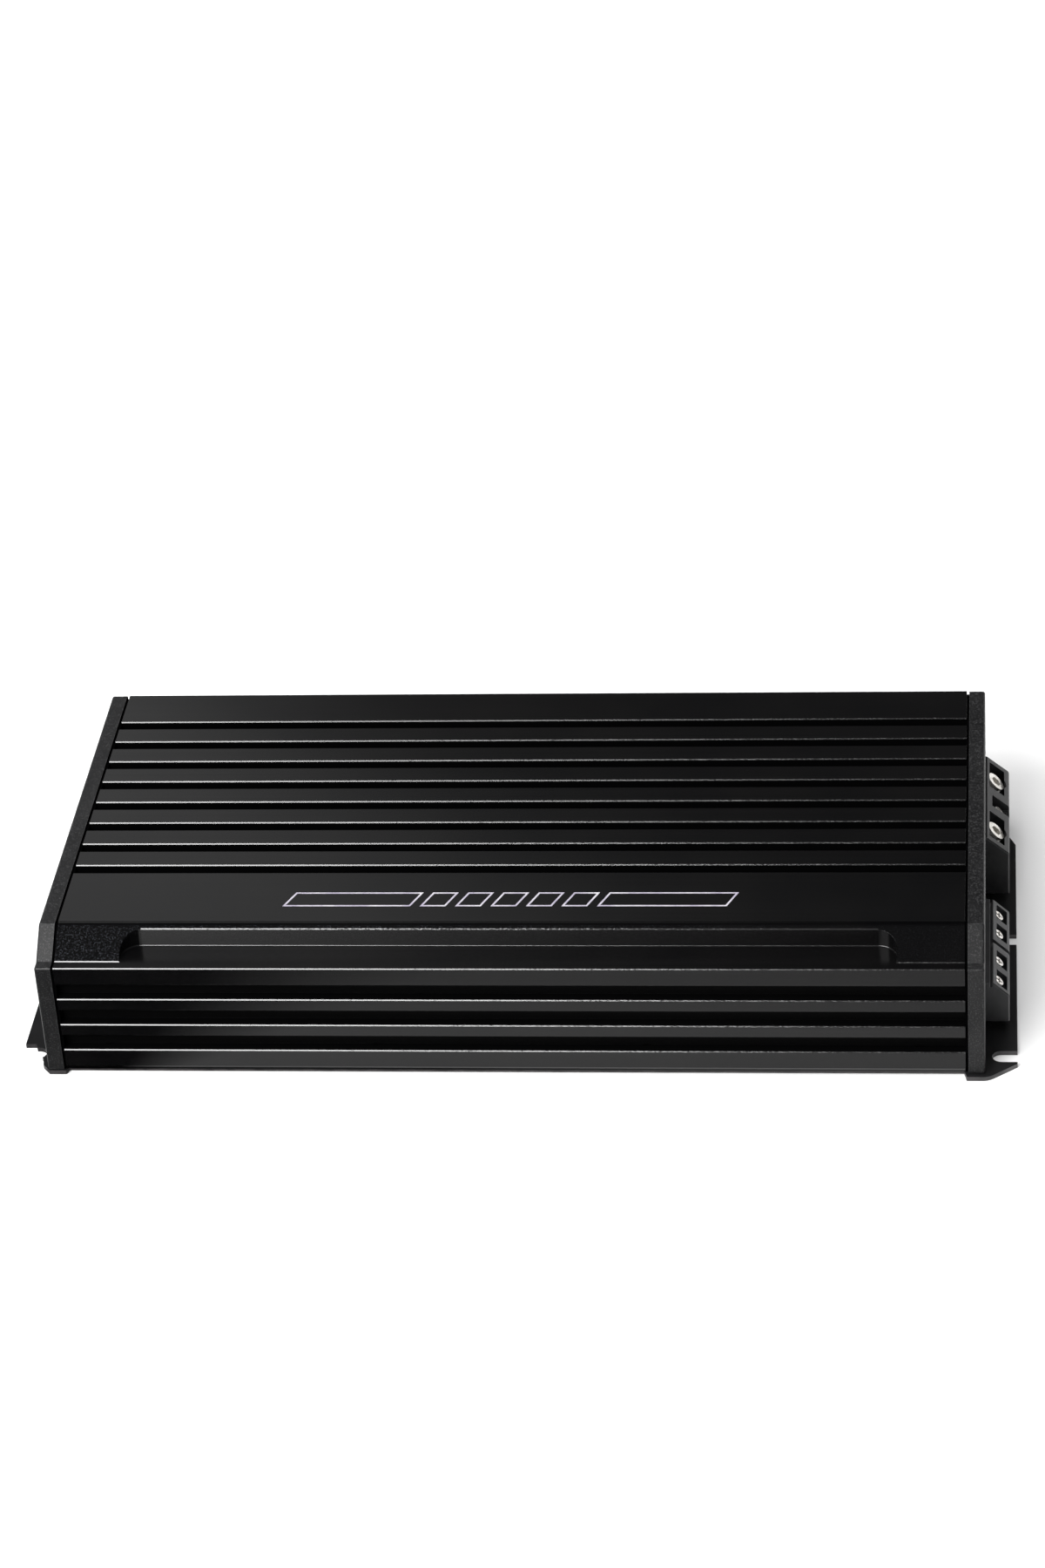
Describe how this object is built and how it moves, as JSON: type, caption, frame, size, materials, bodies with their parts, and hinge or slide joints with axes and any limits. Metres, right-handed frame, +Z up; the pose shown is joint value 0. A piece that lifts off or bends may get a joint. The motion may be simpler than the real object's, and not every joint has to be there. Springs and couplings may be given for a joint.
{
  "type": "car audio amplifier",
  "caption": "Low rectangular car amplifier: black grooved heatsink casing between two end caps, slanted screw terminals on one end, open-slotted mounting ears.",
  "frame": {"origin": "underside of the mounting plate, below the middle of the casing extrusion", "axes": "+X along the casing towards the power and speaker terminals, -Y towards the long side with the shoulder recess, +Z up"},
  "size_m": [0.3116, 0.1507, 0.0478],
  "materials": {
    "anodised_aluminium": "black satin anodised, fine drawn grain",
    "coated_cap": "black textured powder coat",
    "coated_steel": "black satin e-coat, bright sheared edges",
    "black_screw": "black oxide",
    "nickel": "nickel plate",
    "zinc_steel": "zinc plated",
    "terminal_plastic": "moulded black",
    "knob_plastic": "moulded black, satin",
    "red_insulator": "moulded",
    "clear_lens_blue": "tinted light pipe",
    "clear_lens_red": "tinted light pipe",
    "board_laminate": "solder mask over glass laminate",
    "component_plastic": "moulded epoxy",
    "capacitor_sleeve": "shrink sleeve",
    "film_plastic": "dipped film capacitor",
    "ferrite": "coated ferrite",
    "copper_wire": "enamelled copper",
    "copper_bar": "tinned copper",
    "insulating_pad": "silicone pad",
    "bar_steel": "plain steel",
    "gold_contact": "gold flash"
  },
  "bodies": {
    "amplifier": {"heatsink_body": "anodised_aluminium", "left_end_cap": "coated_cap", "right_end_cap": "coated_cap", "mounting_plate": "coated_steel", "left_cap_screws": "black_screw", "right_cap_screws": "black_screw", "plate_screws": "black_screw", "board_screws": "zinc_steel", "clamp_bar_screws": "zinc_steel", "power_terminal_housing": "terminal_plastic", "speaker_terminal_housing": "terminal_plastic", "power_clamp_blocks": "nickel", "remote_clamp_block": "nickel", "speaker_clamp_blocks": "nickel", "potentiometers": "component_plastic", "slide_switch_cases": "bar_steel", "power_led": "clear_lens_blue", "protect_led": "clear_lens_red", "remote_level_jack": "component_plastic", "level_jack_contacts": "gold_contact", "rca_jack_housing": "component_plastic", "rca_ground_sleeves": "gold_contact", "rca_insulator_rings": "red_insulator", "rca_centre_contacts": "gold_contact", "main_circuit_board": "board_laminate", "output_transistors": "component_plastic", "supply_transistors": "component_plastic", "rectifier_diodes": "component_plastic", "insulating_pads": "insulating_pad", "transistor_clamp_bars": "bar_steel", "transformer_core": "ferrite", "transformer_winding": "copper_wire", "output_choke_cores": "ferrite", "output_choke_windings": "copper_wire", "input_capacitors": "capacitor_sleeve", "rail_capacitors": "capacitor_sleeve", "film_capacitors": "film_plastic", "power_busbars": "copper_bar", "speaker_link_strips": "copper_bar", "driver_board": "board_laminate", "driver_board_header": "component_plastic", "driver_chips": "component_plastic", "preamp_chips": "component_plastic", "coupling_capacitors": "capacitor_sleeve", "mute_relay": "component_plastic", "thermal_sensor": "component_plastic"},
    "negative_clamp_screw_body": {"negative_clamp_screw": "nickel"},
    "positive_clamp_screw_body": {"positive_clamp_screw": "nickel"},
    "remote_clamp_screw_body": {"remote_clamp_screw": "nickel"},
    "speaker_clamp_screw_1_body": {"speaker_clamp_screw_1": "nickel"},
    "speaker_clamp_screw_2_body": {"speaker_clamp_screw_2": "nickel"},
    "speaker_clamp_screw_3_body": {"speaker_clamp_screw_3": "nickel"},
    "speaker_clamp_screw_4_body": {"speaker_clamp_screw_4": "nickel"},
    "input_gain_knob_body": {"input_gain_knob": "knob_plastic"},
    "low_pass_knob_body": {"low_pass_knob": "knob_plastic"},
    "subsonic_knob_body": {"subsonic_knob": "knob_plastic"},
    "bass_boost_knob_body": {"bass_boost_knob": "knob_plastic"},
    "filter_switch_lever_body": {"filter_switch_lever": "knob_plastic"},
    "level_switch_lever_body": {"level_switch_lever": "knob_plastic"}
  },
  "joints": [
    {"name": "negative_clamp_turn", "type": "hinge", "parent": "amplifier", "child": "negative_clamp_screw_body", "pos_m": [0.1495, 0.0286, 0.0229], "axis": [0.7071, 0, 0.7071], "range_deg": [0, 1080]},
    {"name": "positive_clamp_turn", "type": "hinge", "parent": "amplifier", "child": "positive_clamp_screw_body", "pos_m": [0.1495, 0.058, 0.0229], "axis": [0.7071, 0, 0.7071], "range_deg": [0, 1080]},
    {"name": "remote_clamp_turn", "type": "hinge", "parent": "amplifier", "child": "remote_clamp_screw_body", "pos_m": [0.1504, 0.0433, 0.0209], "axis": [0.7071, 0, 0.7071], "range_deg": [0, 1440]},
    {"name": "speaker_clamp_turn_1", "type": "hinge", "parent": "amplifier", "child": "speaker_clamp_screw_1_body", "pos_m": [0.1503, -0.04645, 0.0167], "axis": [0.7071, 0, 0.7071], "range_deg": [0, 1440]},
    {"name": "speaker_clamp_turn_2", "type": "hinge", "parent": "amplifier", "child": "speaker_clamp_screw_2_body", "pos_m": [0.1503, -0.03615, 0.0167], "axis": [0.7071, 0, 0.7071], "range_deg": [0, 1440]},
    {"name": "speaker_clamp_turn_3", "type": "hinge", "parent": "amplifier", "child": "speaker_clamp_screw_3_body", "pos_m": [0.1503, -0.02125, 0.0167], "axis": [0.7071, 0, 0.7071], "range_deg": [0, 1440]},
    {"name": "speaker_clamp_turn_4", "type": "hinge", "parent": "amplifier", "child": "speaker_clamp_screw_4_body", "pos_m": [0.1503, -0.01095, 0.0167], "axis": [0.7071, 0, 0.7071], "range_deg": [0, 1440]},
    {"name": "input_gain_turn", "type": "hinge", "parent": "amplifier", "child": "input_gain_knob_body", "pos_m": [-0.1466, -0.052, 0.0184], "axis": [-1, 0, 0], "range_deg": [-140, 140]},
    {"name": "low_pass_turn", "type": "hinge", "parent": "amplifier", "child": "low_pass_knob_body", "pos_m": [-0.1466, -0.04, 0.0184], "axis": [-1, 0, 0], "range_deg": [-140, 140]},
    {"name": "subsonic_turn", "type": "hinge", "parent": "amplifier", "child": "subsonic_knob_body", "pos_m": [-0.1466, -0.028, 0.0184], "axis": [-1, 0, 0], "range_deg": [-140, 140]},
    {"name": "bass_boost_turn", "type": "hinge", "parent": "amplifier", "child": "bass_boost_knob_body", "pos_m": [-0.1466, -0.016, 0.0184], "axis": [-1, 0, 0], "range_deg": [-140, 140]},
    {"name": "filter_switch_slide", "type": "slide", "parent": "amplifier", "child": "filter_switch_lever_body", "axis": [0, 1, 0], "range_m": [0, 0.003]},
    {"name": "level_switch_slide", "type": "slide", "parent": "amplifier", "child": "level_switch_lever_body", "axis": [0, 1, 0], "range_m": [0, 0.003]}
  ]
}
